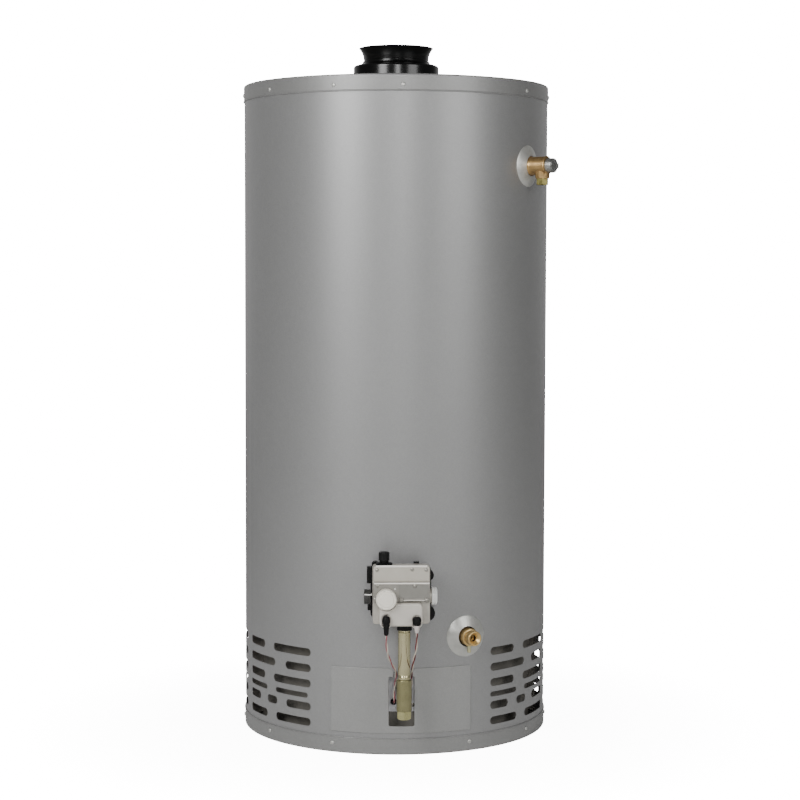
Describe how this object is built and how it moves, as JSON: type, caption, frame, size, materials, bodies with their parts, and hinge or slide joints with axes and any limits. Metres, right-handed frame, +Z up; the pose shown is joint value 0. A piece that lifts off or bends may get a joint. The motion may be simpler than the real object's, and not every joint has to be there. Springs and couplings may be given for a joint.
{
  "type": "storage water heater",
  "caption": "Upright cylindrical gas water heater with gas control, vent collar, access door, relief valve and drain valve.",
  "frame": {"origin": "centre of the base pan's underside, on the floor", "axes": "+Z up along the tank's axis; the gas control and access door face -Y; +X to the right seen from the front"},
  "size_m": [0.5642, 0.6591, 1.2532],
  "materials": {
    "jacket_paint": "satin grey metallic enamel",
    "door_paint": "satin grey metallic enamel",
    "pan_paint": "satin grey metallic enamel",
    "vent_black": "gloss black enamel",
    "pan_screw_zinc": "zinc plated",
    "tank_steel": "mill finish, enamelled inside",
    "flue_steel": "mill finish",
    "spud_steel": "turned",
    "foam": "foamed in place",
    "glass_wool": "loose mat",
    "nipple_zinc": "zinc plated",
    "dip_plastic": "moulded",
    "anode_magnesium": "extruded",
    "chamber_steel": "mill finish",
    "burner_steel": "pressed stainless",
    "manifold_steel": "plain pipe",
    "orifice_brass": "turned",
    "pilot_steel": "plated",
    "pilot_aluminium": "drawn tube",
    "inner_door_steel": "galvanised",
    "sight_glass": "clear",
    "grommet_rubber": "moulded",
    "feed_pipe_zinc": "yellow zinc",
    "feed_fitting_zinc": "olive zinc",
    "tee_plug_zinc": "yellow zinc",
    "outlet_nut_black": "black oxide",
    "housing_black": "moulded",
    "casting_grey": "die cast",
    "cover_grey": "die cast",
    "label_cover_grey": "die cast",
    "lower_cover_grey": "die cast",
    "cover_screw_steel": "zinc plated",
    "dial_plastic": "moulded",
    "knob_plastic": "moulded",
    "spindle_steel": "turned",
    "cap_white": "moulded",
    "port_plastic": "moulded",
    "thermowell_brass": "turned",
    "boot_rubber": "moulded",
    "left_lead_sleeve": "insulated wire",
    "right_lead_sleeve": "insulated wire",
    "escutcheon_steel": "spun",
    "relief_brass": "cast and turned",
    "bushing_zinc": "yellow zinc",
    "relief_cap_steel": "pressed",
    "lever_steel": "pressed",
    "relief_stem_brass": "turned",
    "spring_steel": "coiled wire",
    "drain_brass": "cast and turned",
    "drain_stem_brass": "turned",
    "washer_rubber": "moulded"
  },
  "bodies": {
    "heater": {"base_pan": "pan_paint", "outer_jacket": "jacket_paint", "top_pan": "pan_paint", "top_pan_screws": "pan_screw_zinc", "base_pan_screws": "pan_screw_zinc", "tank_shell": "tank_steel", "tank_top_head": "tank_steel", "tank_bottom_head": "tank_steel", "flue_tube": "flue_steel", "flue_baffle": "flue_steel", "tank_spuds": "spud_steel", "foam_insulation": "foam", "top_insulation": "glass_wool", "water_nipples": "nipple_zinc", "dip_tube": "dip_plastic", "anode_rod": "anode_magnesium", "vent_collar": "vent_black", "vent_flare": "vent_black", "combustion_skirt": "chamber_steel", "flame_arrestor": "burner_steel", "main_burner": "burner_steel", "manifold_tube": "manifold_steel", "gas_orifice": "orifice_brass", "pilot_assembly": "pilot_steel", "pilot_tube": "pilot_aluminium", "inner_door": "inner_door_steel", "inner_door_screws": "cover_screw_steel", "sight_glass": "sight_glass", "lead_grommets": "grommet_rubber", "feed_pipe": "feed_pipe_zinc", "feed_tee": "feed_fitting_zinc", "tee_plug": "tee_plug_zinc", "outlet_nut": "outlet_nut_black", "valve_rear_housing": "housing_black", "valve_casting": "casting_grey", "valve_upper_cover": "cover_grey", "valve_label_cover": "label_cover_grey", "valve_lower_cover": "lower_cover_grey", "valve_cover_screws": "cover_screw_steel", "inlet_cap": "cap_white", "port_fitting": "port_plastic", "thermowell": "thermowell_brass", "lead_plugs": "boot_rubber", "left_lead": "left_lead_sleeve", "right_lead": "right_lead_sleeve", "escutcheons": "escutcheon_steel", "relief_valve_body": "relief_brass", "relief_outlet_bushing": "bushing_zinc", "relief_end_cap": "relief_cap_steel", "relief_spring": "spring_steel", "drain_valve_body": "drain_brass"},
    "door": {"outer_door": "door_paint"},
    "dial": {"temperature_dial": "dial_plastic"},
    "knob_spindle": {"gas_knob_stem": "spindle_steel"},
    "knob": {"gas_knob": "knob_plastic"},
    "test_lever": {"relief_lever": "lever_steel"},
    "relief_disc": {"relief_stem": "relief_stem_brass"},
    "drain_closer": {"drain_washer": "washer_rubber"},
    "drain_screw": {"drain_stem": "drain_stem_brass"}
  },
  "joints": [
    {"name": "door_pull", "type": "slide", "parent": "heater", "child": "door", "axis": [0, -1, 0], "range_m": [0, 0.15]},
    {"name": "dial_turn", "type": "hinge", "parent": "heater", "child": "dial", "pos_m": [-0.0305, -0.357, 0.2887], "axis": [0, -1, 0], "range_deg": [-135, 135]},
    {"name": "knob_push", "type": "slide", "parent": "heater", "child": "knob_spindle", "axis": [0, 0, -1], "range_m": [0, 0.003], "stiffness_N_per_m": 400, "springref_m": -0.003},
    {"name": "knob_turn", "type": "hinge", "parent": "knob_spindle", "child": "knob", "pos_m": [-0.033, -0.3295, 0.358], "axis": [0, 0, 1], "range_deg": [0, 180]},
    {"name": "lever_lift", "type": "hinge", "parent": "heater", "child": "test_lever", "pos_m": [0.27278, -0.17496, 1.03], "axis": [0, 0, 1], "range_deg": [0, 80]},
    {"name": "disc_lift", "type": "slide", "parent": "heater", "child": "relief_disc", "axis": [0.8151, -0.5793, 0], "range_m": [0, 0.0029], "stiffness_N_per_m": 500, "springref_m": -0.01, "deforming": ["relief_spring"]},
    {"name": "drain_travel", "type": "slide", "parent": "heater", "child": "drain_closer", "axis": [0, 0, -1], "range_m": [0, 0.006]},
    {"name": "drain_turn", "type": "hinge", "parent": "drain_closer", "child": "drain_screw", "pos_m": [0.11877, -0.26676, 0.1935], "axis": [0, 0, 1], "range_deg": [0, 1440]}
  ],
  "couplings": [
    {"joint": "lever_lift", "follows": "disc_lift", "rad_per_m": 476.19},
    {"joint": "drain_turn", "follows": "drain_travel", "rad_per_m": 4188.8}
  ]
}
